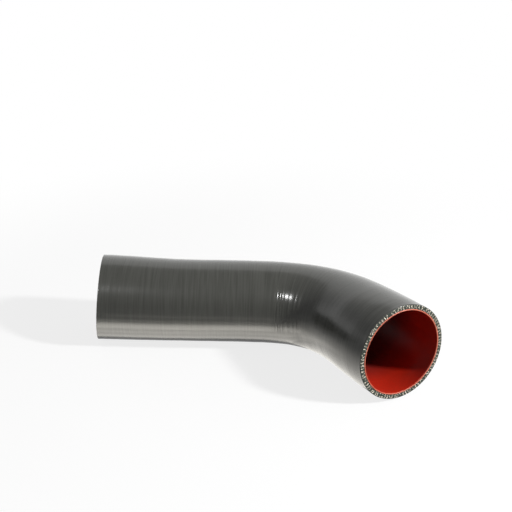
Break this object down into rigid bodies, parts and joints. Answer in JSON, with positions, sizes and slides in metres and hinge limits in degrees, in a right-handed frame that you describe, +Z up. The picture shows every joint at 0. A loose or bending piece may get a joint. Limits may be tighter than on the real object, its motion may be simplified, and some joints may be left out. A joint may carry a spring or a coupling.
{
  "type": "intercooler hose",
  "caption": "Bent reducing hose of fabric-reinforced silicone with a thin red liner, for charge air between an intercooler and its pipework.",
  "frame": {"origin": "middle of the bounding box's bottom, on the ground that the hose lies on", "axes": "+X along the straight leg from the far end towards the bend, which turns towards -Y; +Z up from the ground"},
  "size_m": [0.2494, 0.1276, 0.07],
  "materials": {
    "reinforced_wall": "satin grey silicone with fine wrap marks",
    "bore_liner": "satin red silicone"
  },
  "bodies": {
    "root": {"reinforced_wall": "reinforced_wall", "bore_liner": "bore_liner"}
  },
  "joints": []
}
